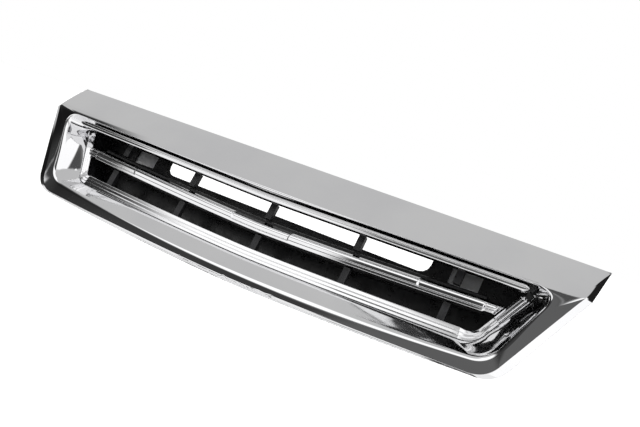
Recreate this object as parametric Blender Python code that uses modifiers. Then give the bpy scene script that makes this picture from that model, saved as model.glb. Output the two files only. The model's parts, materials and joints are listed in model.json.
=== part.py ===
"""Front grille of a car: a plated surround with a visor, a black insert, three chrome bars and ten ribs.

The grille is drawn upright in its own face frame (X to the right seen from the front, -Y forward, +Z up), with
the origin on the centre line, at the front of the ribs, between the two rows of openings. One empty leans the whole
grille back, as it stands on the car. Lengths are in metres.
"""

import math

import bmesh
import bpy
from mathutils import Matrix, Vector

MM = 0.001

# ---- driving dimensions ----------------------------------------------------------------------------------
LEAN = math.radians(20.0)        # the face leans back from vertical by this
PLAN_RADIUS = 3630 * MM          # radius of the grille's sweep, seen from above
RIB_PITCH = 140 * MM
WALL = 2.5 * MM                  # moulded wall thickness
GAP = 0.3 * MM                   # clearance between neighbouring pieces

TOP_STATIONS = 9
CORNER_STATIONS = 5
SIDE_STATIONS = 5
LOWER_CORNER_STATIONS = 6
BOTTOM_STATIONS = 9


# ---- curves ----------------------------------------------------------------------------------------------
def sweep(x):
    """How far the grille has swept back at x."""
    return x * x / (2.0 * PLAN_RADIUS)


def arch(centre, gain, reach, power):
    """Height in millimetres that starts at centre on the centre line and has changed by gain at reach."""
    return lambda x: (centre + gain * (abs(x) / (reach * MM)) ** power) * MM


class Loop:
    """One edge that runs round the grille: a top run, a side line, a bottom run and rounded corners between."""

    def __init__(self, depth, top, side, bottom, rounds, peak=None):
        # depth behind the ribs: top, side's upper and lower end, bottom
        self.depth = [d * MM for d in depth]
        self.top = arch(*top)
        self.side_x = side[0] * MM                # x of the side line at z = 0
        self.side_slope = side[1]                 # change of x for each unit of z
        self.bottom = arch(*bottom)
        # how far the upper and lower corners reach along their sides
        self.rounds = [r * MM for r in rounds]
        # (x, z, z below) of a sharp outer tip in place of the upper corner
        self.peak = peak

    def side(self, z):
        return self.side_x + self.side_slope * z

    def meet(self, run):
        """Where the side line meets a run."""
        x = self.side_x
        for _ in range(12):
            x = self.side(run(x))
        return x, run(x)

    def along_side(self, z, distance):
        z += distance / math.hypot(1.0, self.side_slope)
        return self.side(z), z

    def half(self):
        """Points of the right half, from the top centre round to the bottom centre, each with its depth."""
        top_y, high_y, low_y, bottom_y = self.depth
        upper = self.meet(self.top)
        lower = self.meet(self.bottom)
        top_end = upper[0] - self.rounds[0]
        start = (top_end, self.top(top_end))
        finish = self.along_side(upper[1], -self.rounds[0])
        control = upper
        if self.peak:
            start = (self.peak[0] * MM, self.peak[1] * MM)
            finish = (self.side(self.peak[2] * MM), self.peak[2] * MM)
            control = ((start[0] + finish[0]) / 2, (start[1] + finish[1]) / 2)
        side_end = self.along_side(lower[1], self.rounds[1])
        bottom_start = (lower[0] - self.rounds[1], self.bottom(lower[0] - self.rounds[1]))

        points = []
        for i in range(TOP_STATIONS):
            x = start[0] * i / TOP_STATIONS
            points.append((x, self.top(x), top_y))
        for i in range(CORNER_STATIONS):
            t = i / CORNER_STATIONS
            points.append((*bend(start, control, finish, t), top_y + (high_y - top_y) * t))
        for i in range(SIDE_STATIONS):
            t = i / SIDE_STATIONS
            points.append((*straight(finish, side_end, t), high_y + (low_y - high_y) * t))
        for i in range(LOWER_CORNER_STATIONS):
            t = i / LOWER_CORNER_STATIONS
            points.append((*bend(side_end, lower, bottom_start, t), low_y + (bottom_y - low_y) * t))
        for i in range(BOTTOM_STATIONS + 1):
            x = bottom_start[0] * (1 - i / BOTTOM_STATIONS)
            points.append((x, self.bottom(x), bottom_y))
        return [Vector((x, y + sweep(x), z)) for x, z, y in points]


def straight(a, b, t):
    return tuple(p + (q - p) * t for p, q in zip(a, b))


def bend(a, corner, b, t):
    """A point of the rounded corner that leaves a towards corner and arrives at b."""
    return tuple((1 - t) ** 2 * p + 2 * t * (1 - t) * c + t * t * q for p, c, q in zip(a, corner, b))


# Edges of the surround, from its widest outline (the visor's back edge on top) to the inner edge of the dish.
# Millimetres.
WIDE_EDGE = Loop((17, -26, -33, -31), (111.5, 8.7, 448.7, 2), (414.2, 0.475), (-96.5, 16, 335, 1.6), (0, 26),
                 peak=(448.7, 120.2, 61.5))
OUTER_EDGE = Loop((-28, -31, -36, -35), (52.5, 12.7, 429, 1.5), (403.4, 0.5), (-91.2, 12.8, 334, 1.6), (4, 22))
RIM = Loop((-33, -33, -33, -33), (43, 11.5, 356, 1.5), (384.4, 0.41), (-80, 18.5, 320, 2), (32, 23))
DISH_EDGE = Loop((0, 0, -5, -14), (41.5, 11.5, 356, 1.5), (351.5, 0.5), (-53.9, 12, 315, 1.6), (15, 20))

# Edges of the black insert: its mounting lip, the mouth of its tunnel and the tunnel's back end.
LIP_EDGE = Loop((6.6, 6.6, 4, -4.9), (47, 10.5, 345, 1.4), (354.5, 0.5), (-56.4, 12, 315, 1.6), (15, 20))
MOUTH_EDGE = Loop((6.6, 6.6, 4, -4.9), (43, 9.5, 345, 1.4), (341.5, 0.5), (-40.4, 10, 315, 1.6), (10, 18))
TUNNEL_END = Loop((48, 48, 48, 48), (60, 9, 345, 1.4), (339.5, 0.4), (-37, 9, 315, 1.6), (12, 18))

bar_top = arch(39.6, 10.8, 345, 1.4)          # top of the upper bar
bar_middle = arch(0.0, 15.5, 318, 1.5)        # groove line of the middle bar
panel_low = arch(-41, 9, 315, 1.6)
panel_high = arch(65.5, 9, 345, 1.4)
window_low = arch(32.5, 2, 220, 2)


# ---- mesh helpers ----------------------------------------------------------------------------------------
def clear_scene():
    for old in list(bpy.data.objects):
        bpy.data.objects.remove(old)


def new_collection(name):
    made = bpy.data.collections.new(name)
    bpy.context.scene.collection.children.link(made)
    return made


def material(name, colour, roughness, metallic):
    made = bpy.data.materials.new(name)
    made.use_nodes = True
    shader = made.node_tree.nodes["Principled BSDF"]
    shader.inputs["Base Color"].default_value = (*colour, 1.0)
    shader.inputs["Roughness"].default_value = roughness
    shader.inputs["Metallic"].default_value = metallic
    return made


def place(obj, parent, finish):
    """Puts a piece in the grille's collection, under its empty, with its material."""
    for home in list(obj.users_collection):
        home.objects.unlink(obj)
    PARTS.objects.link(obj)
    obj.parent = parent
    obj.data.materials.clear()
    obj.data.materials.append(finish)
    return obj


def mesh_object(name, shape, sharp=30.0):
    mesh = bpy.data.meshes.new(name)
    shape.to_mesh(mesh)
    shape.free()
    mesh.shade_smooth()
    mesh.set_sharp_from_angle(angle=math.radians(sharp))
    return bpy.data.objects.new(name, mesh)


def skin(rows):
    """An open surface through rows of points, one row for each station."""
    shape = bmesh.new()
    verts = [[shape.verts.new(p) for p in row] for row in rows]
    for a, b in zip(verts, verts[1:]):
        for i in range(len(a) - 1):
            shape.faces.new((a[i], a[i + 1], b[i + 1], b[i]))
    return shape


def swept(name, sections, sharp=30.0):
    """A closed solid through closed sections, capped at both ends."""
    shape = bmesh.new()
    verts = [[shape.verts.new(p) for p in section] for section in sections]
    count = len(verts[0])
    for a, b in zip(verts, verts[1:]):
        for i in range(count):
            j = (i + 1) % count
            shape.faces.new((a[i], b[i], b[j], a[j]))
    shape.faces.new(verts[0])
    shape.faces.new(reversed(verts[-1]))
    bmesh.ops.recalc_face_normals(shape, faces=shape.faces)
    return mesh_object(name, shape, sharp)


def mirrored(obj):
    """Completes a half that is open at the centre plane."""
    mirror = obj.modifiers.new("Mirror", "MIRROR")
    mirror.use_axis[0] = True
    mirror.use_clip = True
    mirror.merge_threshold = 0.0001
    return obj


def thickened(obj, offset):
    """Gives an open skin its wall. offset -1 puts the wall behind the faces' front, 1 puts it in front."""
    solid = obj.modifiers.new("Solidify", "SOLIDIFY")
    solid.thickness = WALL
    solid.offset = offset
    solid.use_even_offset = True
    return obj


def softened(obj, width):
    bevel = obj.modifiers.new("Bevel", "BEVEL")
    bevel.width = width
    bevel.segments = 1
    bevel.limit_method = "ANGLE"
    bevel.angle_limit = math.radians(40)
    return obj


def outline(name, points, thickness, soft=0.0):
    """A flat piece: a 2D curve drawn in its own XY plane, extruded to its thickness."""
    curve = bpy.data.curves.new(name, "CURVE")
    curve.dimensions = "2D"
    curve.fill_mode = "BOTH"
    curve.extrude = thickness / 2
    spline = curve.splines.new("POLY")
    spline.points.add(len(points) - 1)
    for point, (x, y) in zip(spline.points, points):
        point.co = (x, y, 0.0, 1.0)
    spline.use_cyclic_u = True
    guide = bpy.data.objects.new(name, curve)
    bpy.context.scene.collection.objects.link(guide)
    bpy.context.view_layer.update()
    mesh = bpy.data.meshes.new_from_object(guide.evaluated_get(bpy.context.evaluated_depsgraph_get()))
    bpy.data.objects.remove(guide)
    shape = bmesh.new()
    shape.from_mesh(mesh)
    bmesh.ops.remove_doubles(shape, verts=shape.verts, dist=0.00001)
    bmesh.ops.recalc_face_normals(shape, faces=shape.faces)
    obj = mesh_object(name, shape)
    if soft:
        softened(obj, soft)
    return obj


def strip(path, thickness):
    """The closed outline of a bent strip that follows path, with the path along its middle."""
    half = thickness / 2
    sides = ([], [])
    for i, point in enumerate(path):
        before = Vector(path[i]) - Vector(path[i - 1]) if i else Vector(path[1]) - Vector(path[0])
        after = Vector(path[i + 1]) - Vector(point) if i < len(path) - 1 else before
        across = (before.normalized() + after.normalized()).normalized().orthogonal()
        reach = half / max(0.3, across.dot(before.normalized().orthogonal()))
        for side, way in zip(sides, (1, -1)):
            side.append(tuple(Vector(point) + across * reach * way))
    return sides[0] + sides[1][::-1]


def cut(obj, cutter):
    """Takes a cutter's shape out of a piece."""
    for home in list(cutter.users_collection):
        home.objects.unlink(cutter)
    CUTTERS.objects.link(cutter)
    cutter.hide_render = True
    cutter.display_type = "WIRE"
    boolean = obj.modifiers.new("Cut_" + cutter.name, "BOOLEAN")
    boolean.operation = "DIFFERENCE"
    boolean.solver = "EXACT"
    boolean.object = cutter


def drill(name, radius, length, parent, matrix):
    """A round cutter along its own Z."""
    bpy.ops.mesh.primitive_cylinder_add(vertices=12, radius=radius, depth=length)
    tool = bpy.context.object
    tool.name = name
    tool.parent = parent
    tool.matrix_local = matrix
    return tool


# ---- the plated pieces -----------------------------------------------------------------------------------
def rounded(before, corner, after, reach, steps):
    """The rounded edge that replaces a corner of a section."""
    a = corner + (before - corner).normalized() * reach
    b = corner + (after - corner).normalized() * reach
    return [Vector(bend(a, corner, b, i / steps)) for i in range(steps + 1)]


def hem_of(points):
    """The hem behind the widest outline: it turns in under the visor's back edge, the sides and the bottom."""
    hem = []
    for i, point in enumerate(points):
        ahead = points[min(i + 1, len(points) - 1)]
        behind = points[max(i - 1, 0)]
        along = Vector((ahead.x - behind.x, 0.0, ahead.z - behind.z)).normalized()
        inward = Vector((along.z, 0.0, -along.x))
        lower = min(1.0, max(0.0, (i - TOP_STATIONS) / CORNER_STATIONS))
        back = (2.0 + 11.0 * lower) * MM
        hem.append(point + inward * (5.0 + 3.0 * lower) * MM + Vector((0.0, back, 0.0)))
    return hem


VISOR_BULGE = 3.0 * MM    # how far the visor's face is crowned
DISH_SCOOP = 2.4 * MM     # how far the dish is hollowed up its sides
# away from the visor
VISOR_OUT = Vector((0.0, -math.cos(math.radians(37.3)), math.sin(math.radians(37.3))))


def surround_section(hem, wide, outer, rim, dish, upper, lower):
    """One section of the surround, from its hem over the visor or the outer facet, the face and the dish.

    upper is 1 along the visor and falls to 0 round the upper corner. lower rises to 1 round the lower corner."""
    facet = [wide.lerp(outer, t) + VISOR_OUT * VISOR_BULGE * upper * 4 * t * (1 - t) for t in (0.3, 0.6, 0.85)]
    wide_edge = rounded(hem, wide, facet[0], 1.2 * MM, 2)
    flange = dish + Vector((0.0, 5 * MM, 0.0))
    slope = dish - rim
    deep = Vector((0.0, 1.0, 0.0))
    deep = (deep - slope * deep.dot(slope) / slope.length_squared).normalized()
    scoop = DISH_SCOOP * (1.0 - 0.6 * upper - 0.9 * lower)
    face_edge = rounded(facet[-1], outer, rim, (0.8 + 1.2 * upper) * MM, 2)
    rim_edge = rounded(outer, rim, dish, 3.0 * MM, 3)
    hollow = [rim.lerp(dish, t) + deep * scoop * 4 * t * (1 - t) for t in (0.28, 0.5, 0.72)]
    inner_edge = rounded(rim, dish, flange, 1.5 * MM, 2)
    return [hem] + wide_edge + facet + face_edge + rim_edge + hollow + inner_edge + [flange]


def make_surround():
    wide_edge = WIDE_EDGE.half()
    edges = [hem_of(wide_edge), wide_edge] + [loop.half() for loop in (OUTER_EDGE, RIM, DISH_EDGE)]
    lower_corner = TOP_STATIONS + CORNER_STATIONS + SIDE_STATIONS
    rows = []
    for i, points in enumerate(zip(*edges)):
        upper = 1.0 - min(1.0, max(0.0, (i - TOP_STATIONS) / CORNER_STATIONS))
        lower = min(1.0, max(0.0, (i - lower_corner) / LOWER_CORNER_STATIONS))
        rows.append(surround_section(*points, upper, lower))
    for row in (rows[0], rows[-1]):
        for point in row:
            point.x = 0.0
    obj = mesh_object("Surround", skin(rows), 28.0)
    return place(thickened(mirrored(obj), -1), GRILLE, CHROME)


TIP = 10 * MM             # length of a bar's rounded end


def bar_stations(end, count):
    """x of a bar's stations over its right half, closer together in the rounded end."""
    run = [(end - TIP) * i / count for i in range(count + 1)]
    return run + [end - TIP * (1 - f) for f in (0.5, 0.85, 1.0)]


def bar_sections(stations, height_at, depth, section, fullness_at, slant_at=lambda x: 0.0):
    """Sections of a chrome bar over its right half. section(x) gives (y, z) offsets in millimetres."""
    rows = []
    for x in stations:
        offsets = section(x)
        middle = sum(z for _, z in offsets) / len(offsets)
        row = []
        for y, z in offsets:
            up = (z - middle) * fullness_at(x) * MM
            x_here = x + slant_at(x) * up
            row.append(Vector((x_here, (depth + y) * MM + sweep(x_here), height_at(x) + middle * MM + up)))
        rows.append(row)
    return rows


def whole_bar(name, rows):
    """Adds the left half to a bar's right half and closes its ends."""
    left = [[Vector((-p.x, p.y, p.z)) for p in row] for row in reversed(rows[1:])]
    return place(swept(name, left + rows, 25.0), GRILLE, CHROME)


def make_upper_bar():
    end = 371 * MM
    section = [(12, 0.0), (3.2, 0.0), (1.6, -1.0), (0.3, -3.6), (0.3, -4.5), (0.9, -4.9), (0.4, -5.3),
               (0.5, -8.0), (1.6, -9.0), (12, -9.0)]

    def fullness(x):
        into_tip = max(0.0, (x - (end - TIP)) / TIP)
        return max(0.28, math.sqrt(max(0.0, 1 - into_tip ** 2)))

    rows = bar_sections(bar_stations(end, 9), bar_top, -31.5, lambda x: section, fullness)
    return whole_bar("Upper_Bar", rows)


SEAT_HALF = 46 * MM       # half the length of the plain badge seat
STEP_OUT = 237 * MM       # where the bar steps back towards its ends
END_STEP = 325 * MM       # where the slim end section starts
STEP_RUN = 2.5 * MM       # length of each step


def proud(x):
    """How far the middle bar stands forward at x, in millimetres."""
    levels = ((0.0, -1.8), (SEAT_HALF, 1.2), (STEP_OUT, 0.0), (END_STEP, -2.0))
    value = levels[0][1]
    for (start, level), (_, before) in zip(levels[1:], levels):
        t = min(1.0, max(0.0, (abs(x) - start) / STEP_RUN))
        value += (level - before) * t
    return value


def middle_section(x):
    """Section of the middle bar: a sloping top, a groove, the front, a second groove and the lower lip."""
    p = proud(x)
    slim = 1.5 * min(1.0, max(0.0, (abs(x) - END_STEP) / STEP_RUN))
    return [(4, 6.6 - slim), (1.5, 6.4 - slim), (-7.5 - p, 1.2), (-8.4 - p, 0.4), (-7.2 - p, -0.1), (-9.2 - p, -0.8),
            (-10 - p, -3.6), (-9.3 - p, -7.6 + slim), (-7.8 - p, -8.3 + slim), (-8.6, -9.2 + slim),
            (-7.8, -12.2 + slim), (-6, -12.8 + slim), (4, -12.8 + slim)]


def make_middle_bar():
    """Its ends are cut on the slant of the ring that they meet."""
    end = 344.5 * MM
    stations = [end * i / 8 for i in range(9)]
    for start in (SEAT_HALF, STEP_OUT, END_STEP):
        stations += [start, start + STEP_RUN]

    def slant(x):
        return DISH_EDGE.side_slope * max(0.0, (x - END_STEP - STEP_RUN) / (end - END_STEP - STEP_RUN))

    rows = bar_sections(sorted(stations), bar_middle, 0.0, middle_section, lambda x: 1.0, slant)
    return whole_bar("Middle_Bar", rows)


RING_WIDE = 15.0          # ring width along the bottom, millimetres
RING_SLIM = 11.0          # ring width up the ends, millimetres


def ring_section(edge, inward, width):
    """Section of the lower ring: three ridges across its front, square at the back."""
    across = [(0.0, 5.6), (0.0, 0.5), (0.06, -0.6), (0.2, -0.6), (0.27, 0.7), (0.34, -0.9), (0.44, -0.9), (0.5, 0.6),
              (0.62, 0.6), (0.68, -0.5), (0.78, -0.5), (0.84, 0.5), (0.94, 0.5), (1.0, 1.4), (1.0, 5.6)]
    return [edge + inward * (w * width * MM) + Vector((0.0, y * MM, 0.0)) for w, y in across]


def make_lower_ring():
    edge = DISH_EDGE.half()
    first = TOP_STATIONS + CORNER_STATIONS
    run = edge[first:]
    rows = []
    for i, point in enumerate(run):
        ahead = run[min(i + 1, len(run) - 1)]
        behind = run[max(i - 1, 0)]
        along = Vector((ahead.x - behind.x, 0.0, ahead.z - behind.z)).normalized()
        if i == len(run) - 1:
            along = Vector((-1.0, 0.0, 0.0))
        inward = Vector((along.z, 0.0, -along.x))
        share = min(1.0, max(0.0, (i - SIDE_STATIONS) / LOWER_CORNER_STATIONS))
        width = RING_SLIM + (RING_WIDE - RING_SLIM) * share
        rows.append(ring_section(point + inward * (GAP + 0.2 * MM), inward, width))
    left = [[Vector((-p.x, p.y, p.z)) for p in row] for row in rows[:-1]]
    return place(swept("Lower_Ring", left + rows[::-1], 25.0), GRILLE, CHROME)


# ---- the black insert ------------------------------------------------------------------------------------
def make_insert_frame():
    rows = [list(row) for row in zip(LIP_EDGE.half(), MOUTH_EDGE.half(), TUNNEL_END.half())]
    obj = mesh_object("Insert_Frame", skin(rows))
    return place(thickened(mirrored(obj), -1), GRILLE, BLACK)


def make_carrier(name, height_at, section, end):
    rows = []
    for i in range(9):
        x = end * i / 8
        rows.append([Vector((x, y * MM + sweep(x), height_at(x) + z * MM)) for y, z in section])
    left = [[Vector((-p.x, p.y, p.z)) for p in row] for row in reversed(rows[1:])]
    place(swept(name, left + rows), GRILLE, BLACK)


def make_carriers():
    """The black rails behind the upper and the middle bar. Each section is (y, z) in millimetres."""
    upper = ((-19.1, -1.0), (-19.1, -6.5), (-14, -5.5), (-2, -1.5), (-2, 0.2), (-14, 0.2))
    middle = ((4.4, 10), (4.4, -11), (22, -11), (22, 12.4), (8, 12))
    make_carrier("Upper_Carrier", bar_top, upper, 358 * MM)
    make_carrier("Middle_Carrier", bar_middle, middle, 322 * MM)


def make_rib(name, x, bottom, top):
    """One upright rib between two heights."""
    width, depth = 10 * MM, 9.5 * MM
    bpy.ops.mesh.primitive_cube_add(size=1.0)
    rib = bpy.context.object
    rib.name = name
    rib.data.transform(Matrix.Diagonal((width, depth, top - bottom, 1.0)))
    softened(rib, 0.6 * MM)
    place(rib, GRILLE, BLACK)
    rib.location = (x, depth / 2 + sweep(x), (top + bottom) / 2)


def make_ribs():
    """Five upright ribs in each row. Their ends follow the bars as these rise towards the sides."""
    for number in range(-2, 3):
        x = number * RIB_PITCH
        make_rib(f"Rib_Upper_{number + 3}", x, bar_middle(x) + 12.8 * MM, bar_top(x) - 2.6 * MM)
        make_rib(f"Rib_Lower_{number + 3}", x, DISH_EDGE.bottom(x) + 15.4 * MM, bar_middle(x) - 13.6 * MM)


WINDOW_HALF = 228 * MM
WINDOW_CORNER = 14 * MM          # radius of the window's lower corners
WINDOW_TOP = arch(58, 6, 345, 1.4)
PORT = (257 * MM, 300 * MM)      # x of the small opening beyond the window's end
PANEL_DEPTH = 48.6 * MM          # the back panel's front, behind the ribs
PANEL_END = 345 * MM             # nominal x of its slanted ends
PANEL_OVERHANG = 5 * MM


def window_floor(x):
    """Lower edge of the long window, with rounded lower corners."""
    into = max(0.0, (abs(x) - (WINDOW_HALF - WINDOW_CORNER)) / WINDOW_CORNER)
    return window_low(x) + WINDOW_CORNER * (1 - math.sqrt(max(0.0, 1 - min(1.0, into) ** 2)))


def make_back_panel():
    """A swept plate, one column of faces for each station, with the window and the end openings left out.

    Its end columns slant with the tunnel's side walls, which they overhang a little."""
    square_to = WINDOW_HALF - WINDOW_CORNER
    stations = [0.0, 70 * MM, 140 * MM, 185 * MM]
    stations += [square_to + WINDOW_CORNER * f for f in (0.0, 0.5, 0.85, 1.0)]
    stations += [*PORT, 325 * MM]
    shape = bmesh.new()
    columns = []
    for x in stations + [PANEL_END]:
        rounding = x if x <= WINDOW_HALF else square_to
        column = []
        for z in (panel_low(x), window_floor(rounding), WINDOW_TOP(x), panel_high(x)):
            x_here = TUNNEL_END.side(z) + PANEL_OVERHANG if x == PANEL_END else x
            column.append(shape.verts.new((x_here, PANEL_DEPTH + sweep(x_here), z)))
        columns.append(column)
    for (a, b), x in zip(zip(columns, columns[1:]), stations):
        open_here = x < WINDOW_HALF or x == PORT[0]
        for row in range(3):
            if not (row == 1 and open_here):
                shape.faces.new((a[row], b[row], b[row + 1], a[row + 1]))
    obj = mesh_object("Back_Panel", shape)
    return place(thickened(mirrored(obj), -1), GRILLE, BLACK)


def make_upper_panel():
    """Closes the space between the visor's back edge and the back panel."""
    edge = arch(0, 8.7, 448.7, 2)
    foot = arch(0, 9, 345, 1.4)
    rows = []
    for i in range(9):
        x = 400 * MM * i / 8
        y = sweep(x)
        rows.append([Vector((x, 11 * MM + y, 96 * MM + edge(x))), Vector((x, 19 * MM + y, 101 * MM + edge(x))),
                     Vector((x, 49 * MM + y, 69 * MM + foot(x)))])
    obj = mesh_object("Upper_Panel", skin(rows))
    return place(thickened(mirrored(obj), 1), GRILLE, BLACK)


# ---- fixings ---------------------------------------------------------------------------------------------
def on_face(x, y, z):
    """A point of the face frame, in the grille's own level frame."""
    return LEANING @ Vector((x, y, z))


def make_top_tabs():
    """Level tabs behind the visor, each with a spring nut pushed over its back edge."""
    edge = arch(0, 8.7, 448.7, 2)
    for number, x in enumerate((-330 * MM, -120 * MM, 120 * MM, 330 * MM), 1):
        start = on_face(x, 23.5 * MM + sweep(x), 101.5 * MM + edge(x))
        points = [(-16, 0), (16, 0), (16, 30), (10, 38), (-10, 38), (-16, 30)]
        tab = outline(f"Top_Tab_{number}", [(a * MM, b * MM) for a, b in points], WALL, 0.4 * MM)
        place(tab, LEVEL, BLACK)
        tab.location = start
        middle = Matrix.Translation(start + Vector((0, 22 * MM, 0)))
        hole = drill(f"Tab_Hole_{number}", 3.5 * MM, 20 * MM, LEVEL, middle)
        cut(tab, hole)
        reach = WALL / 2 + GAP + 0.5 * MM
        clip_path = [(16 * MM, reach), (38.9 * MM, reach), (38.9 * MM, -reach), (14 * MM, -reach)]
        clip = outline(f"Spring_Nut_{number}", strip(clip_path, 0.8 * MM), 14 * MM)
        place(clip, LEVEL, STEEL)
        clip.rotation_euler = (math.radians(90), 0.0, math.radians(90))
        clip.location = start


def make_lower_hooks():
    """Snap hooks that stand on the inside of the bottom wall and point backwards."""
    profile = [(0, 0), (17, 0), (31, 1.6), (30, 4.4), (27, 3.6), (27, 2.8), (17, 2.6), (14, 5), (0, 5)]
    for number, x in enumerate((-290 * MM, -100 * MM, 100 * MM, 290 * MM), 1):
        hook = outline(f"Lower_Hook_{number}", [(a * MM, b * MM) for a, b in profile], 16 * MM)
        place(hook, GRILLE, BLACK)
        hook.rotation_euler = (math.radians(90), 0.0, math.radians(90))
        rest = WIDE_EDGE.bottom(abs(x) + 9 * MM) + 9 * MM
        hook.location = (x, -14 * MM + sweep(x), rest)


def make_end_brackets():
    """Steel straps behind the back panel that reach out to the car's side supports."""
    height = 46 * MM
    for name, way in (("Left", -1), ("Right", 1)):
        path = [(way * a * MM, b * MM) for a, b in ((250, 61.2), (348, 69.5), (356, 79.5), (384, 79.5))]
        strap = outline(f"End_Bracket_{name}", strip(path, 2 * MM), 35 * MM)
        place(strap, GRILLE, STEEL)
        strap.location = (0.0, 0.0, height)
        turn = Matrix.Rotation(math.radians(90), 4, "X")
        spot = Matrix.Translation((way * 372 * MM, 79.5 * MM, height))
        cut(strap, drill(f"Bracket_Hole_{name}", 3.5 * MM, 20 * MM, GRILLE, spot @ turn))


def make_screws():
    """Pan-head screws behind the insert's lip. Each is a turned profile."""
    head, neck, height = 4.2 * MM, 1.9 * MM, 3.0 * MM
    shank = 2.2 * MM
    profile = [(0.0, height), (head * 0.7, height * 0.88), (head, height * 0.4), (head, 0.0), (neck, 0.0),
               (neck, -shank), (0.0, -shank)]
    spots = [(-240, -1), (-80, -1), (80, -1), (240, -1), (-352, 0), (352, 0)]
    for number, (x, low) in enumerate(spots, 1):
        x *= MM
        z = LIP_EDGE.bottom(x) + 6.2 * MM if low else 18 * MM
        if not low:
            x = math.copysign(LIP_EDGE.side(z) - 5.0 * MM, x)
        mesh = bpy.data.meshes.new(f"Insert_Screw_{number}")
        verts = [(r, 0.0, h) for r, h in profile]
        mesh.from_pydata(verts, [(i, i + 1) for i in range(len(verts) - 1)], [])
        screw = bpy.data.objects.new(mesh.name, mesh)
        place(screw, GRILLE, STEEL)
        turned = screw.modifiers.new("Screw", "SCREW")
        turned.axis = "Z"
        turned.steps = 16
        turned.render_steps = 16
        turned.use_merge_vertices = True
        turned.merge_threshold = 0.0001
        screw.rotation_euler = (math.radians(-90), 0.0, 0.0)
        seat = (LIP_EDGE.depth[3] if low else LIP_EDGE.depth[1]) + WALL + GAP + sweep(abs(x) + head)
        screw.location = (x, seat, z)
        turn = Matrix.Rotation(math.radians(90), 4, "X")
        middle = Matrix.Translation((x, seat, z))
        hole = drill(f"Screw_Hole_{number}", 2.4 * MM, 12 * MM, GRILLE, middle @ turn)
        cut(bpy.data.objects["Insert_Frame"], hole)


# ---- build -----------------------------------------------------------------------------------------------
clear_scene()
PARTS = new_collection("Front_Grille")
CUTTERS = new_collection("Cutters")
LEVEL = bpy.data.objects.new("Grille_Level", None)
GRILLE = bpy.data.objects.new("Grille_Face", None)
for empty in (LEVEL, GRILLE):
    bpy.context.scene.collection.objects.link(empty)
GRILLE.parent = LEVEL
GRILLE.rotation_euler = (-LEAN, 0.0, 0.0)
LEANING = Matrix.Rotation(-LEAN, 4, "X")

CHROME = material("Chrome_Plating", (0.82, 0.82, 0.84), 0.06, 1.0)
BLACK = material("Black_Plastic", (0.012, 0.012, 0.013), 0.38, 0.0)
STEEL = material("Zinc_Steel", (0.55, 0.56, 0.57), 0.35, 1.0)

make_surround()
make_upper_bar()
make_middle_bar()
make_lower_ring()
make_insert_frame()
make_carriers()
make_ribs()
make_back_panel()
make_upper_panel()
make_top_tabs()
make_lower_hooks()
make_end_brackets()
make_screws()
bpy.context.view_layer.update()
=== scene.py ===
"""Looks for the chrome front grille: finer plated mouldings, surface finishes, camera, floor and studio.

The surround, the two bars and the ring are drawn again here with more stations and softer edges than the CAD
solids that they stand for. The ring's ridges slant here and are flat-topped in the CAD. Every other piece
keeps its CAD shape and gets rounded edges and a finish. Lengths are in metres, or millimetres where a
comment says so.
"""

import json
import math

import bmesh
import bpy
from mathutils import Matrix, Vector


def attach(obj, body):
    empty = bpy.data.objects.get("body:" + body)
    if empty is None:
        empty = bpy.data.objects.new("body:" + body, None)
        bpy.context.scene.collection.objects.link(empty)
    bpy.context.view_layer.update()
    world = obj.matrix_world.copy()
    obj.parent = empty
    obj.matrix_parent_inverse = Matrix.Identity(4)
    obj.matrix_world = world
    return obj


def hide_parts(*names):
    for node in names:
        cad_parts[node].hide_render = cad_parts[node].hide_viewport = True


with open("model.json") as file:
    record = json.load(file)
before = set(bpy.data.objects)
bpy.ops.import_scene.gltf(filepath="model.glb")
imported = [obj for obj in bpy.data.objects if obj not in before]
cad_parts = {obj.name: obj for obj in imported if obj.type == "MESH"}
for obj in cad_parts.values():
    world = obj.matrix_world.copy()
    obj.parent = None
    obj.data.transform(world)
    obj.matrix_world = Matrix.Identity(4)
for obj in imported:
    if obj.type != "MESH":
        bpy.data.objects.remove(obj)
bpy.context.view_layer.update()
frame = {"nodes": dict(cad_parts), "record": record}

MM = 0.001
LEAN = math.radians(20.0)         # the grille's face leans back by this
PLAN_RADIUS = 3630 * MM
WALL = 2.5 * MM
TO_ROW = Matrix.Rotation(-LEAN, 4, "X")      # from the upright face frame to the row frame

TOP_STATIONS = 36
CORNER_STATIONS = 14
SIDE_STATIONS = 14
LOWER_CORNER_STATIONS = 22
BOTTOM_STATIONS = 36


# ---- curves of the surround ------------------------------------------------------------------------------
def sweep(x):
    """How far the grille has swept back at x."""
    return x * x / (2.0 * PLAN_RADIUS)


def arch(centre, gain, reach, power):
    """Height in millimetres that starts at centre on the centre line and has changed by gain at reach."""
    return lambda x: (centre + gain * (abs(x) / (reach * MM)) ** power) * MM


def straight(a, b, t):
    return tuple(p + (q - p) * t for p, q in zip(a, b))


def bend(a, corner, b, t):
    """A point of the rounded corner that leaves a towards corner and arrives at b."""
    return tuple((1 - t) ** 2 * p + 2 * t * (1 - t) * c + t * t * q for p, c, q in zip(a, corner, b))


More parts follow.
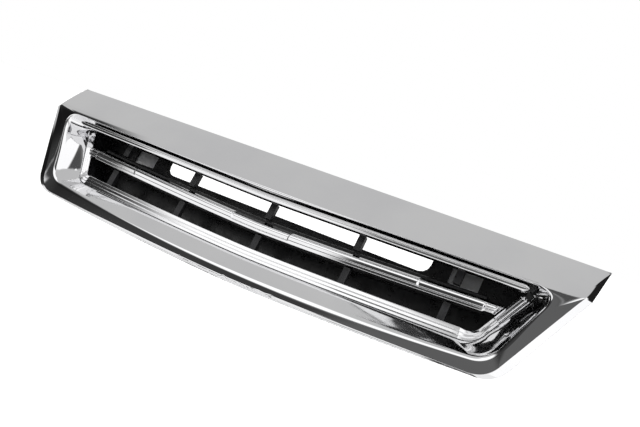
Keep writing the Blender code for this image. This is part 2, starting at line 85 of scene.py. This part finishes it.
class Loop:
    """One edge that runs round the grille: a top run, a side line, a bottom run and rounded corners."""

    def __init__(self, depth, top, side, bottom, rounds, peak=None):
        # depth behind the ribs: top, side's upper and lower end, bottom
        self.depth = [d * MM for d in depth]
        self.top = arch(*top)
        self.side_x = side[0] * MM                # x of the side line at z = 0
        self.side_slope = side[1]                 # change of x for each unit of z
        self.bottom = arch(*bottom)
        # how far the upper and lower corners reach along their sides
        self.rounds = [r * MM for r in rounds]
        # (x, z, z below) of a sharp outer tip in place of the upper corner
        self.peak = peak

    def side(self, z):
        return self.side_x + self.side_slope * z

    def meet(self, run):
        """Where the side line meets a run."""
        x = self.side_x
        for _ in range(12):
            x = self.side(run(x))
        return x, run(x)

    def along_side(self, z, distance):
        z += distance / math.hypot(1.0, self.side_slope)
        return self.side(z), z

    def half(self):
        """Points of the right half, from the top centre round to the bottom centre, each with its depth."""
        top_y, high_y, low_y, bottom_y = self.depth
        upper = self.meet(self.top)
        lower = self.meet(self.bottom)
        top_end = upper[0] - self.rounds[0]
        start = (top_end, self.top(top_end))
        finish = self.along_side(upper[1], -self.rounds[0])
        control = upper
        if self.peak:
            start = (self.peak[0] * MM, self.peak[1] * MM)
            finish = (self.side(self.peak[2] * MM), self.peak[2] * MM)
            control = ((start[0] + finish[0]) / 2, (start[1] + finish[1]) / 2)
        side_end = self.along_side(lower[1], self.rounds[1])
        bottom_start = (lower[0] - self.rounds[1], self.bottom(lower[0] - self.rounds[1]))

        points = []
        for i in range(TOP_STATIONS):
            x = start[0] * i / TOP_STATIONS
            points.append((x, self.top(x), top_y))
        for i in range(CORNER_STATIONS):
            t = i / CORNER_STATIONS
            points.append((*bend(start, control, finish, t), top_y + (high_y - top_y) * t))
        for i in range(SIDE_STATIONS):
            t = i / SIDE_STATIONS
            points.append((*straight(finish, side_end, t), high_y + (low_y - high_y) * t))
        for i in range(LOWER_CORNER_STATIONS):
            t = i / LOWER_CORNER_STATIONS
            points.append((*bend(side_end, lower, bottom_start, t), low_y + (bottom_y - low_y) * t))
        for i in range(BOTTOM_STATIONS + 1):
            x = bottom_start[0] * (1 - i / BOTTOM_STATIONS)
            points.append((x, self.bottom(x), bottom_y))
        return [Vector((x, y + sweep(x), z)) for x, z, y in points]


# Edges of the surround, in millimetres, as in the CAD model.
WIDE_EDGE = Loop((17, -26, -33, -31), (111.5, 8.7, 448.7, 2), (414.2, 0.475), (-96.5, 16, 335, 1.6), (0, 26),
                 peak=(448.7, 120.2, 61.5))
OUTER_EDGE = Loop((-28, -31, -36, -35), (52.5, 12.7, 429, 1.5), (403.4, 0.5), (-91.2, 12.8, 334, 1.6),
                  (4, 22))
RIM = Loop((-33, -33, -33, -33), (43, 11.5, 356, 1.5), (384.4, 0.41), (-80, 18.5, 320, 2), (32, 23))
DISH_EDGE = Loop((0, 0, -5, -14), (41.5, 11.5, 356, 1.5), (351.5, 0.5), (-53.9, 12, 315, 1.6), (15, 20))

VISOR_BULGE = 3.0 * MM    # how far the visor's face is crowned
DISH_SCOOP = 2.4 * MM     # how far the dish is hollowed up its sides
VISOR_TILT = math.radians(37.3)
VISOR_OUT = Vector((0.0, -math.cos(VISOR_TILT), math.sin(VISOR_TILT)))    # away from the visor
WIDE_ROUND = 1.2 * MM     # reach of the rounded edges: widest outline, rim and inner edge of the dish
RIM_ROUND = 4.2 * MM
INNER_ROUND = 1.5 * MM
EDGE_STEPS = 4
RIM_STEPS = 8
FLANGE_DEPTH = 5 * MM
FACET_STEPS = (0.12, 0.3, 0.5, 0.7, 0.88)
HOLLOW_STEPS = (0.2, 0.35, 0.5, 0.65, 0.8)


def rounded(before, corner, after, reach, steps):
    """The rounded edge that replaces a corner of a section."""
    a = corner + (before - corner).normalized() * reach
    b = corner + (after - corner).normalized() * reach
    return [Vector(bend(a, corner, b, i / steps)) for i in range(steps + 1)]


def round_the_corner(i):
    """0 along the top, rising to 1 round the upper corner."""
    return min(1.0, max(0.0, (i - TOP_STATIONS) / CORNER_STATIONS))


def round_the_lower_corner(i):
    """0 up the side, rising to 1 round the lower corner."""
    start = TOP_STATIONS + CORNER_STATIONS + SIDE_STATIONS
    return min(1.0, max(0.0, (i - start) / LOWER_CORNER_STATIONS))


def hem_of(points):
    """The hem behind the widest outline: it turns in under the visor, the sides and the bottom."""
    hem = []
    for i, point in enumerate(points):
        ahead = points[min(i + 1, len(points) - 1)]
        behind = points[max(i - 1, 0)]
        along = Vector((ahead.x - behind.x, 0.0, ahead.z - behind.z)).normalized()
        inward = Vector((along.z, 0.0, -along.x))
        lower = round_the_corner(i)
        back = (2.0 + 11.0 * lower) * MM
        hem.append(point + inward * (5.0 + 3.0 * lower) * MM + Vector((0.0, back, 0.0)))
    return hem


def surround_section(hem, wide, outer, rim, dish, upper, lower):
    """One section of the surround, from its hem over the visor or the outer facet, the face and the dish."""
    facet = [wide.lerp(outer, t) + VISOR_OUT * VISOR_BULGE * upper * 4 * t * (1 - t) for t in FACET_STEPS]
    wide_edge = rounded(hem, wide, facet[0], WIDE_ROUND, EDGE_STEPS)
    flange = dish + Vector((0.0, FLANGE_DEPTH, 0.0))
    slope = dish - rim
    deep = Vector((0.0, 1.0, 0.0))
    deep = (deep - slope * deep.dot(slope) / slope.length_squared).normalized()
    scoop = DISH_SCOOP * (1.0 - 0.6 * upper - 0.9 * lower)
    face_edge = rounded(facet[-1], outer, rim, (0.8 + 1.2 * upper) * MM, EDGE_STEPS)
    rim_edge = rounded(outer, rim, dish, RIM_ROUND, RIM_STEPS)
    hollow = [rim.lerp(dish, t) + deep * scoop * 4 * t * (1 - t) for t in HOLLOW_STEPS]
    inner_edge = rounded(rim, dish, flange, INNER_ROUND, EDGE_STEPS)
    return [hem] + wide_edge + facet + face_edge + rim_edge + hollow + inner_edge + [flange]


def row_object(name, shape):
    """Turns a shape drawn in the face frame into an object of the row frame."""
    shape.transform(TO_ROW)
    mesh = bpy.data.meshes.new(name)
    shape.to_mesh(mesh)
    shape.free()
    obj = bpy.data.objects.new(name, mesh)
    bpy.context.scene.collection.objects.link(obj)
    return obj


def make_surround():
    """The plated surround: visor, face, outer facet and dish in one moulding."""
    wide_edge = WIDE_EDGE.half()
    edges = [hem_of(wide_edge), wide_edge] + [loop.half() for loop in (OUTER_EDGE, RIM, DISH_EDGE)]
    rows = []
    for i, points in enumerate(zip(*edges)):
        rows.append(surround_section(*points, 1.0 - round_the_corner(i), round_the_lower_corner(i)))
    for row in (rows[0], rows[-1]):
        for point in row:
            point.x = 0.0
    shape = bmesh.new()
    verts = [[shape.verts.new(p) for p in row] for row in rows]
    for a, b in zip(verts, verts[1:]):
        for i in range(len(a) - 1):
            shape.faces.new((a[i], a[i + 1], b[i + 1], b[i])).smooth = True
    # creases on both sides of the triangle that ends the visor
    last = 1 + (EDGE_STEPS + 1) + len(FACET_STEPS) + EDGE_STEPS // 2
    for station in (TOP_STATIONS, TOP_STATIONS + CORNER_STATIONS):
        row = verts[station]
        for i in range(last):
            shape.edges.get((row[i], row[i + 1])).smooth = False
    obj = row_object("plated_surround", shape)
    mirror = obj.modifiers.new("Mirror", "MIRROR")
    mirror.use_axis[0] = True
    mirror.use_clip = True
    mirror.merge_threshold = 0.0001
    solid = obj.modifiers.new("Solidify", "SOLIDIFY")
    solid.thickness = WALL
    solid.offset = -1
    solid.use_even_offset = False
    return obj


# ---- chrome bars -----------------------------------------------------------------------------------------
def softly(section, reach, steps):
    """A closed section in millimetres with each of its corners rounded as far as its sides allow."""
    soft = []
    for i, corner in enumerate(section):
        neighbours = (section[i - 1], corner, section[(i + 1) % len(section)])
        before, corner, after = (Vector((*p, 0.0)) for p in neighbours)
        span = min(reach, 0.42 * (before - corner).length, 0.42 * (after - corner).length)
        soft += [p.xy for p in rounded(before, corner, after, span, steps)]
    return soft


def swept(name, rows):
    """A closed, smooth solid through closed sections, capped at both ends."""
    shape = bmesh.new()
    verts = [[shape.verts.new(p) for p in row] for row in rows]
    count = len(verts[0])
    for a, b in zip(verts, verts[1:]):
        for i in range(count):
            shape.faces.new((a[i], b[i], b[(i + 1) % count], a[(i + 1) % count])).smooth = True
    for ring in (verts[0], verts[-1]):
        cap = shape.faces.new(ring)
        for edge in cap.edges:
            edge.smooth = False
    bmesh.ops.recalc_face_normals(shape, faces=shape.faces)
    return row_object(name, shape)


def bar_row(x, offsets, height_at, depth, fullness, slant):
    """One section of a bar. offsets are (y, z) in millimetres."""
    middle = sum(z for _, z in offsets) / len(offsets)
    row = []
    for y, z in offsets:
        up = (z - middle) * fullness * MM
        x_here = x + slant * up
        row.append(Vector((x_here, (depth + y) * MM + sweep(x_here), height_at(x) + middle * MM + up)))
    return row


def whole_bar(name, rows):
    left = [[Vector((-p.x, p.y, p.z)) for p in row] for row in reversed(rows[1:])]
    return swept(name, left + rows)


def spread(end, count):
    return [end * i / count for i in range(count + 1)]


bar_top = arch(39.6, 10.8, 345, 1.4)          # top of the upper bar
bar_middle = arch(0.0, 15.5, 318, 1.5)        # groove line of the middle bar


def make_upper_bar():
    """Two facets with a thin groove between them, and rounded ends."""
    end, tip = 371 * MM, 10 * MM
    section = softly([(12, 0.0), (3.2, 0.0), (1.6, -1.0), (0.3, -3.6), (0.3, -4.5), (0.9, -4.9), (0.4, -5.3),
                      (0.5, -8.0), (1.6, -9.0), (12, -9.0)], 0.5, 3)
    rows = []
    for x in spread(end - tip, 40) + [end - tip * (1 - f) for f in (0.25, 0.5, 0.7, 0.85, 0.95, 1.0)]:
        into_tip = max(0.0, (x - (end - tip)) / tip)
        fullness = max(0.28, math.sqrt(max(0.0, 1 - into_tip ** 2)))
        rows.append(bar_row(x, section, bar_top, -31.5, fullness, 0.0))
    return whole_bar("upper_chrome_bar", rows)


SEAT_HALF = 46 * MM       # half the length of the plain badge seat
STEP_OUT = 237 * MM       # where the bar steps back towards its ends
END_STEP = 325 * MM       # where the slim end section starts
STEP_RUN = 2.5 * MM       # length of each step


def proud(x):
    """How far the middle bar stands forward at x, in millimetres."""
    levels = ((0.0, -1.8), (SEAT_HALF, 1.2), (STEP_OUT, 0.0), (END_STEP, -2.0))
    value = levels[0][1]
    for (start, level), (_, before) in zip(levels[1:], levels):
        value += (level - before) * min(1.0, max(0.0, (x - start) / STEP_RUN))
    return value


def make_middle_bar():
    """A sloping top, a groove, the front, a second groove and the lower lip, with a step at each knuckle."""
    end = 344.5 * MM
    stations = set(spread(end, 60))
    for start in (SEAT_HALF, STEP_OUT, END_STEP):
        stations |= {start + STEP_RUN * f for f in (-0.2, 0.0, 0.25, 0.5, 0.75, 1.0, 1.2)}
    rows = []
    for x in sorted(stations):
        p = proud(x)
        slim = 1.5 * min(1.0, max(0.0, (x - END_STEP) / STEP_RUN))
        corners = [(4, 6.6 - slim), (1.5, 6.4 - slim), (-7.5 - p, 1.2), (-8.4 - p, 0.4), (-7.2 - p, -0.1),
                   (-9.2 - p, -0.8), (-10 - p, -3.6), (-9.3 - p, -7.6 + slim), (-7.8 - p, -8.3 + slim),
                   (-8.6, -9.2 + slim), (-7.8, -12.2 + slim), (-6, -12.8 + slim), (4, -12.8 + slim)]
        section = softly(corners, 0.6, 3)
        slant = DISH_EDGE.side_slope * max(0.0, (x - END_STEP - STEP_RUN) / (end - END_STEP - STEP_RUN))
        rows.append(bar_row(x, section, bar_middle, 0.0, 1.0, slant))
    return whole_bar("middle_chrome_bar", rows)


RING_WIDE = 15.0          # ring width along the bottom, millimetres
RING_SLIM = 11.0          # ring width up the ends, millimetres
RING_GAP = 0.5 * MM       # clearance between the ring and the dish


def make_lower_ring():
    """Three slanting ridges across its front, square at the back."""
    run = DISH_EDGE.half()[TOP_STATIONS + CORNER_STATIONS:]
    rows = []
    for i, point in enumerate(run):
        ahead = run[min(i + 1, len(run) - 1)]
        behind = run[max(i - 1, 0)]
        along = Vector((ahead.x - behind.x, 0.0, ahead.z - behind.z)).normalized()
        if i == len(run) - 1:
            along = Vector((-1.0, 0.0, 0.0))
        inward = Vector((along.z, 0.0, -along.x))
        widening = min(1.0, max(0.0, (i - SIDE_STATIONS) / LOWER_CORNER_STATIONS))
        width = RING_SLIM + (RING_WIDE - RING_SLIM) * widening
        across = [(0.0, 5.6), (0.0, 0.3), (0.03, -0.9), (0.29, 0.6), (0.33, -0.9), (0.61, 0.6), (0.66, -0.8),
                  (0.95, 0.8), (1.0, 1.4), (1.0, 5.6)]
        section = softly([(y, w * width) for w, y in across], 0.25, 2)
        edge = point + inward * RING_GAP
        rows.append([edge + inward * w * MM + Vector((0.0, y * MM, 0.0)) for y, w in section])
    left = [[Vector((-p.x, p.y, p.z)) for p in row] for row in rows[:-1]]
    return swept("lower_chrome_ring", left + rows[::-1])


# ---- finishes --------------------------------------------------------------------------------------------
class Finish:
    """A material under construction: a Principled shader and short calls that add noise and bump to it."""

    def __init__(self, name, colour, metallic, roughness):
        self.material = bpy.data.materials.new(name)
        self.material.use_nodes = True
        self.tree = self.material.node_tree
        self.shader = self.tree.nodes["Principled BSDF"]
        self.shader.inputs["Base Color"].default_value = (*colour, 1.0)
        self.shader.inputs["Metallic"].default_value = metallic
        self.shader.inputs["Roughness"].default_value = roughness
        self.coordinates = self.tree.nodes.new("ShaderNodeTexCoord").outputs["Object"]
        self.bump_so_far = None

    def noise(self, scale, detail=3.0, roughness=0.5, stretch=(1.0, 1.0, 1.0)):
        mapping = self.tree.nodes.new("ShaderNodeMapping")
        mapping.inputs["Scale"].default_value = stretch
        texture = self.tree.nodes.new("ShaderNodeTexNoise")
        texture.inputs["Scale"].default_value = scale
        texture.inputs["Detail"].default_value = detail
        texture.inputs["Roughness"].default_value = roughness
        self.tree.links.new(self.coordinates, mapping.inputs["Vector"])
        self.tree.links.new(mapping.outputs["Vector"], texture.inputs["Vector"])
        return texture.outputs["Fac"]

    def vary(self, socket, source, low, high, low_at=0.35, high_at=0.65):
        """Maps noise onto a number or a grey-level range of a shader input."""
        mapped = self.tree.nodes.new("ShaderNodeMapRange")
        mapped.inputs["From Min"].default_value = low_at
        mapped.inputs["From Max"].default_value = high_at
        mapped.inputs["To Min"].default_value = low
        mapped.inputs["To Max"].default_value = high
        self.tree.links.new(source, mapped.inputs["Value"])
        self.tree.links.new(mapped.outputs["Result"], self.shader.inputs[socket])

    def tint(self, source, dark, light):
        """Lets the base colour wander between two colours."""
        ramp = self.tree.nodes.new("ShaderNodeValToRGB")
        ramp.color_ramp.elements[0].position = 0.35
        ramp.color_ramp.elements[0].color = (*dark, 1.0)
        ramp.color_ramp.elements[1].position = 0.65
        ramp.color_ramp.elements[1].color = (*light, 1.0)
        self.tree.links.new(source, ramp.inputs["Fac"])
        self.tree.links.new(ramp.outputs["Color"], self.shader.inputs["Base Color"])

    def bump(self, source, distance, strength=1.0):
        node = self.tree.nodes.new("ShaderNodeBump")
        node.inputs["Strength"].default_value = strength
        node.inputs["Distance"].default_value = distance
        self.tree.links.new(source, node.inputs["Height"])
        if self.bump_so_far:
            self.tree.links.new(self.bump_so_far, node.inputs["Normal"])
        self.bump_so_far = node.outputs["Normal"]
        self.tree.links.new(self.bump_so_far, self.shader.inputs["Normal"])


def chrome_finish():
    finish = Finish("chrome_plating", (0.86, 0.86, 0.87), 1.0, 0.05)
    finish.tint(finish.noise(9.0), (0.84, 0.84, 0.852), (0.885, 0.885, 0.89))
    finish.vary("Roughness", finish.noise(35.0, 4.0), 0.035, 0.075)
    finish.bump(finish.noise(22.0, 1.0), 0.00005)
    return finish.material


def plastic_finish():
    finish = Finish("black_plastic", (0.012, 0.012, 0.013), 0.0, 0.38)
    finish.tint(finish.noise(60.0), (0.009, 0.009, 0.010), (0.016, 0.016, 0.017))
    finish.vary("Roughness", finish.noise(120.0, 5.0), 0.26, 0.44)
    finish.bump(finish.noise(1400.0, 2.0), 0.00006, 0.5)
    finish.shader.inputs["Specular IOR Level"].default_value = 0.5
    return finish.material


def steel_finish():
    finish = Finish("zinc_steel", (0.60, 0.61, 0.62), 1.0, 0.35)
    finish.tint(finish.noise(45.0, 6.0), (0.66, 0.67, 0.69), (0.80, 0.80, 0.80))
    finish.vary("Roughness", finish.noise(90.0, 6.0, 0.6, (1.0, 1.0, 9.0)), 0.28, 0.46)
    finish.bump(finish.noise(500.0, 3.0, 0.6, (1.0, 1.0, 6.0)), 0.00004, 0.6)
    return finish.material


FINISHES = {
    "chrome_plating": chrome_finish(),
    "black_plastic": plastic_finish(),
    "zinc_steel": steel_finish(),
}
RIB_EDGE = 0.5 * MM       # bevels of the ribs and of the other CAD pieces
PLAIN_EDGE = 0.2 * MM
SHARP = 24.0              # degrees between faces from which an edge gets a bevel


def dress(node, edge, sharp):
    """Gives a CAD node its finish, joins its facets into one smooth skin and rounds its edges."""
    slot = next(s["material_slot"] for s in frame["record"]["subparts"] if s["node"] == node.name)
    node.data.materials.clear()
    node.data.materials.append(FINISHES[slot])
    custom = node.data.attributes.get("custom_normal")
    if custom:
        node.data.attributes.remove(custom)
    node.data.shade_smooth()
    weld = node.modifiers.new("Weld", "WELD")
    weld.merge_threshold = 0.00001
    bevel = node.modifiers.new("Bevel", "BEVEL")
    bevel.width = edge
    bevel.segments = 2
    bevel.limit_method = "ANGLE"
    bevel.angle_limit = math.radians(sharp)
    bevel.harden_normals = True


PLATED = {"Surround": make_surround(), "Upper_Bar": make_upper_bar(), "Middle_Bar": make_middle_bar(),
          "Lower_Ring": make_lower_ring()}
for name, piece in PLATED.items():
    piece.data.materials.append(FINISHES["chrome_plating"])
    if name != "Surround":
        flats = piece.modifiers.new("Flats", "WEIGHTED_NORMAL")
        flats.weight = 100
    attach(piece, "root")
    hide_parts(name)

for name, node in frame["nodes"].items():
    if name not in PLATED:
        dress(node, RIB_EDGE if name.startswith("Rib_") else PLAIN_EDGE, SHARP)


# ---- camera ----------------------------------------------------------------------------------------------
def make_camera():
    """Stands to the right of the grille and a little above it, rolled so that it slopes down to the right."""
    turn = Vector((1.19601717, 0.579512469, 0.0312119001))       # rotation vector, face frame to camera
    # the face frame's origin, seen from the camera
    shift = Vector((-0.0799867911, 0.0177830862, 1.12294967))
    seen = Matrix.Rotation(turn.length, 3, turn.normalized())
    flip = Matrix.Diagonal((1.0, -1.0, -1.0))                    # a camera looks along its own -Z, with +Y up
    face_to_camera = Matrix.Translation(-(seen.transposed() @ shift)) @ (seen.transposed() @ flip).to_4x4()
    data = bpy.data.cameras.new("camera")
    data.lens = 45.0
    data.sensor_width = 36.0
    data.clip_end = 200.0
    camera = bpy.data.objects.new("camera", data)
    bpy.context.scene.collection.objects.link(camera)
    camera.matrix_world = TO_ROW @ face_to_camera
    bpy.context.scene.camera = camera


make_camera()


# ---- floor and studio ------------------------------------------------------------------------------------
def make_floor():
    """A wide pale floor, well below the grille."""
    bpy.ops.mesh.primitive_plane_add(size=80.0, location=(0.0, 0.0, -1.2))
    floor = bpy.context.object
    floor.name = "floor"
    finish = Finish("floor", (0.9, 0.9, 0.9), 0.0, 0.7)
    finish.tint(finish.noise(0.5), (0.89, 0.89, 0.89), (0.91, 0.91, 0.91))
    floor.data.materials.append(finish.material)
    floor.visible_glossy = False


def make_lamp(name, strength, elevation, azimuth, angle):
    """A far soft lamp. Azimuth 0 is straight in front of the grille and 90 is on its right."""
    data = bpy.data.lights.new(name, "SUN")
    data.energy = strength
    data.angle = math.radians(angle)
    lamp = bpy.data.objects.new(name, data)
    lamp.rotation_euler = (math.radians(90.0 - elevation), 0.0, math.radians(azimuth))
    lamp.visible_glossy = False
    bpy.context.scene.collection.objects.link(lamp)


# Studio panels that the chrome mirrors, each laid over the ones before it. Degrees: azimuth (0 in front, 90
# on the right) from and to, elevation from and to, width of the soft edge; then brightness.
PANELS = (
    ((-400, 400), (-100, -2), 6, 0.95),       # pale floor all round
    ((-400, 400), (-120, -80), 6, 0.05),      # the shadow under the grille
    ((-99, 26), (-14, 47), 6, 0.045),         # dark side of the room, in front and on the left
    ((-99, -58), (-4, 40), 14, 0.010),        # its darkest part
    ((-22, 30), (22, 47), 10, 0.12),
    ((-48, -17), (-18, 29), 4, 1.05),         # softbox in front, a little to the left
    ((-75, 18), (49, 68), 5, 1.2),            # strip light overhead
    ((24, 104), (-14, 27), 4, 1.15),          # large white softbox on the right
    ((2, 30), (-14, 16), 4, 1.0),
    ((34, 112), (40, 72), 8, 1.15),           # high softbox on the right
    ((0, 36), (47, 68), 8, 0.08),
    ((106, 150), (-40, 64), 8, 0.015),        # dark corner behind on the right
)
OVERHEAD = 0.56                               # soft light panel above


def make_studio():
    """The world: white to the camera, a product studio to everything else."""
    world = bpy.data.worlds.new("studio")
    world.use_nodes = True
    bpy.context.scene.world = world
    tree = world.node_tree
    background = tree.nodes["Background"]

    def math_node(kind, a, b=None):
        node = tree.nodes.new("ShaderNodeMath")
        node.operation = kind
        for socket, value in zip(node.inputs, (a, b)):
            if isinstance(value, (int, float)):
                socket.default_value = value
            elif value is not None:
                tree.links.new(value, socket)
        return node.outputs["Value"]

    def within(value, low, high, soft):
        """1 between low and high, falling to 0 over the soft edge."""
        masks = []
        for start, way in ((low, 1.0), (high, -1.0)):
            node = tree.nodes.new("ShaderNodeMapRange")
            node.interpolation_type = "SMOOTHSTEP"
            node.inputs["From Min"].default_value = start - way * soft / 2
            node.inputs["From Max"].default_value = start + way * soft / 2
            tree.links.new(value, node.inputs["Value"])
            masks.append(node.outputs["Result"])
        return math_node("MULTIPLY", *masks)

    direction = tree.nodes.new("ShaderNodeSeparateXYZ")
    tree.links.new(tree.nodes.new("ShaderNodeTexCoord").outputs["Generated"], direction.inputs["Vector"])
    forward = math_node("MULTIPLY", direction.outputs["Y"], -1.0)
    azimuth = math_node("DEGREES", math_node("ARCTAN2", direction.outputs["X"], forward))
    elevation = math_node("DEGREES", math_node("ARCSINE", direction.outputs["Z"]))

    level = OVERHEAD
    for (west, east), (low, high), soft, brightness in PANELS:
        mask = math_node("MULTIPLY", within(azimuth, west, east, soft), within(elevation, low, high, soft))
        mix = tree.nodes.new("ShaderNodeMix")
        tree.links.new(mask, mix.inputs["Factor"])
        if isinstance(level, float):
            mix.inputs["A"].default_value = level
        else:
            tree.links.new(level, mix.inputs["A"])
        mix.inputs["B"].default_value = brightness
        level = mix.outputs["Result"]

    to_camera = tree.nodes.new("ShaderNodeLightPath").outputs["Is Camera Ray"]
    seen = tree.nodes.new("ShaderNodeMix")
    tree.links.new(to_camera, seen.inputs["Factor"])
    tree.links.new(level, seen.inputs["A"])
    seen.inputs["B"].default_value = 1.0
    tree.links.new(seen.outputs["Result"], background.inputs["Strength"])
    background.inputs["Color"].default_value = (1.0, 1.0, 1.0, 1.0)


make_floor()
make_lamp("key", 3.6, 62.0, -35.0, 30.0)
make_lamp("fill", 0.8, 35.0, 60.0, 40.0)
make_studio()
bpy.context.scene.view_settings.view_transform = "Standard"
